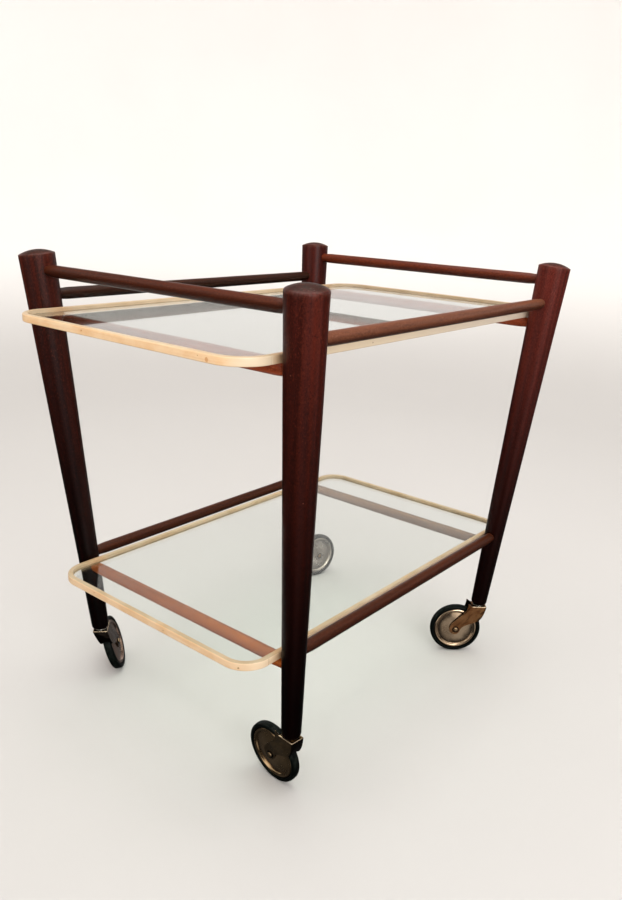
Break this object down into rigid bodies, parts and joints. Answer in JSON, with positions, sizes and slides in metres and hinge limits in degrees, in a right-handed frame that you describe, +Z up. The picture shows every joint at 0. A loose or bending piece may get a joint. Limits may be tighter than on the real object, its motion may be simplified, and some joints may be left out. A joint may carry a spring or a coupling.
{
  "type": "bar cart",
  "caption": "Two-tier tea trolley: leaning tapered round wooden legs joined by dowel rails, glass shelves with a plastic edge strip, swivel casters.",
  "frame": {"origin": "on the floor under the middle of the cart", "axes": "+X along the cart, +Y across it, +Z up"},
  "size_m": [0.6916, 0.5056, 0.6434],
  "materials": {
    "leg_wood": "dark red-brown stained hardwood under worn satin lacquer",
    "rail_wood": "dark red-brown stained dowel, lacquer worn lighter along the top",
    "glass": "clear float glass, slightly grey-green",
    "edge_strip": "aged ivory plastic, slightly glossy, yellowed and stained in places",
    "brass_plate": "tarnished brass plate on pressed steel",
    "steel": "dull steel",
    "tyre": "black rubber, matt and dusty"
  },
  "bodies": {
    "frame": {"handle_rail_left": "rail_wood", "top_shelf_support_left": "rail_wood", "bottom_shelf_support_left": "rail_wood", "handle_rail_right": "rail_wood", "top_shelf_support_right": "rail_wood", "bottom_shelf_support_right": "rail_wood", "top_side_rail_front": "rail_wood", "bottom_side_rail_front": "rail_wood", "top_side_rail_back": "rail_wood", "bottom_side_rail_back": "rail_wood", "leg_front_left": "leg_wood", "leg_front_right": "leg_wood", "leg_back_left": "leg_wood", "leg_back_right": "leg_wood", "top_shelf_edge_strip": "edge_strip", "top_shelf_glass": "glass", "bottom_shelf_edge_strip": "edge_strip", "bottom_shelf_glass": "glass", "caster_sleeve_front_left": "steel", "thrust_washer_front_left": "steel", "caster_sleeve_front_right": "steel", "thrust_washer_front_right": "steel", "caster_sleeve_back_left": "steel", "thrust_washer_back_left": "steel", "caster_sleeve_back_right": "steel", "thrust_washer_back_right": "steel"},
    "fork_front_left": {"caster_fork_front_left": "brass_plate", "caster_stem_front_left": "steel", "axle_pin_front_left": "brass_plate"},
    "wheel_front_left": {"tyre_front_left": "tyre", "wheel_disc_near_front_left": "brass_plate", "wheel_disc_far_front_left": "brass_plate", "hub_bush_front_left": "steel"},
    "fork_front_right": {"caster_fork_front_right": "brass_plate", "caster_stem_front_right": "steel", "axle_pin_front_right": "brass_plate"},
    "wheel_front_right": {"tyre_front_right": "tyre", "wheel_disc_near_front_right": "brass_plate", "wheel_disc_far_front_right": "brass_plate", "hub_bush_front_right": "steel"},
    "fork_back_left": {"caster_fork_back_left": "brass_plate", "caster_stem_back_left": "steel", "axle_pin_back_left": "brass_plate"},
    "wheel_back_left": {"tyre_back_left": "tyre", "wheel_disc_near_back_left": "brass_plate", "wheel_disc_far_back_left": "brass_plate", "hub_bush_back_left": "steel"},
    "fork_back_right": {"caster_fork_back_right": "brass_plate", "caster_stem_back_right": "steel", "axle_pin_back_right": "brass_plate"},
    "wheel_back_right": {"tyre_back_right": "tyre", "wheel_disc_near_back_right": "brass_plate", "wheel_disc_far_back_right": "brass_plate", "hub_bush_back_right": "steel"}
  },
  "joints": [
    {"name": "swivel_front_left", "type": "hinge", "parent": "frame", "child": "fork_front_left", "pos_m": [-0.23703, -0.19138, 0.086], "axis": [0, 0, 1], "continuous": true},
    {"name": "roll_front_left", "type": "hinge", "parent": "fork_front_left", "child": "wheel_front_left", "pos_m": [-0.22761, -0.15708, 0.04148], "axis": [-0.9861, 0.088, -0.1409], "continuous": true},
    {"name": "swivel_front_right", "type": "hinge", "parent": "frame", "child": "fork_front_right", "pos_m": [0.23703, -0.19138, 0.086], "axis": [0, 0, 1], "continuous": true},
    {"name": "roll_front_right", "type": "hinge", "parent": "fork_front_right", "child": "wheel_front_right", "pos_m": [0.21506, -0.16413, 0.04154], "axis": [-0.7671, -0.6414, -0.014], "continuous": true},
    {"name": "swivel_back_left", "type": "hinge", "parent": "frame", "child": "fork_back_left", "pos_m": [-0.23703, 0.19138, 0.086], "axis": [0, 0, 1], "continuous": true},
    {"name": "roll_back_left", "type": "hinge", "parent": "fork_back_left", "child": "wheel_back_left", "pos_m": [-0.20319, 0.20768, 0.04055], "axis": [-0.7005, 0.6532, -0.2874], "continuous": true},
    {"name": "swivel_back_right", "type": "hinge", "parent": "frame", "child": "fork_back_right", "pos_m": [0.23703, 0.19138, 0.086], "axis": [0, 0, 1], "continuous": true},
    {"name": "roll_back_right", "type": "hinge", "parent": "fork_back_right", "child": "wheel_back_right", "pos_m": [0.27085, 0.18203, 0.04159], "axis": [0.1973, 0.9787, -0.0558], "continuous": true}
  ]
}
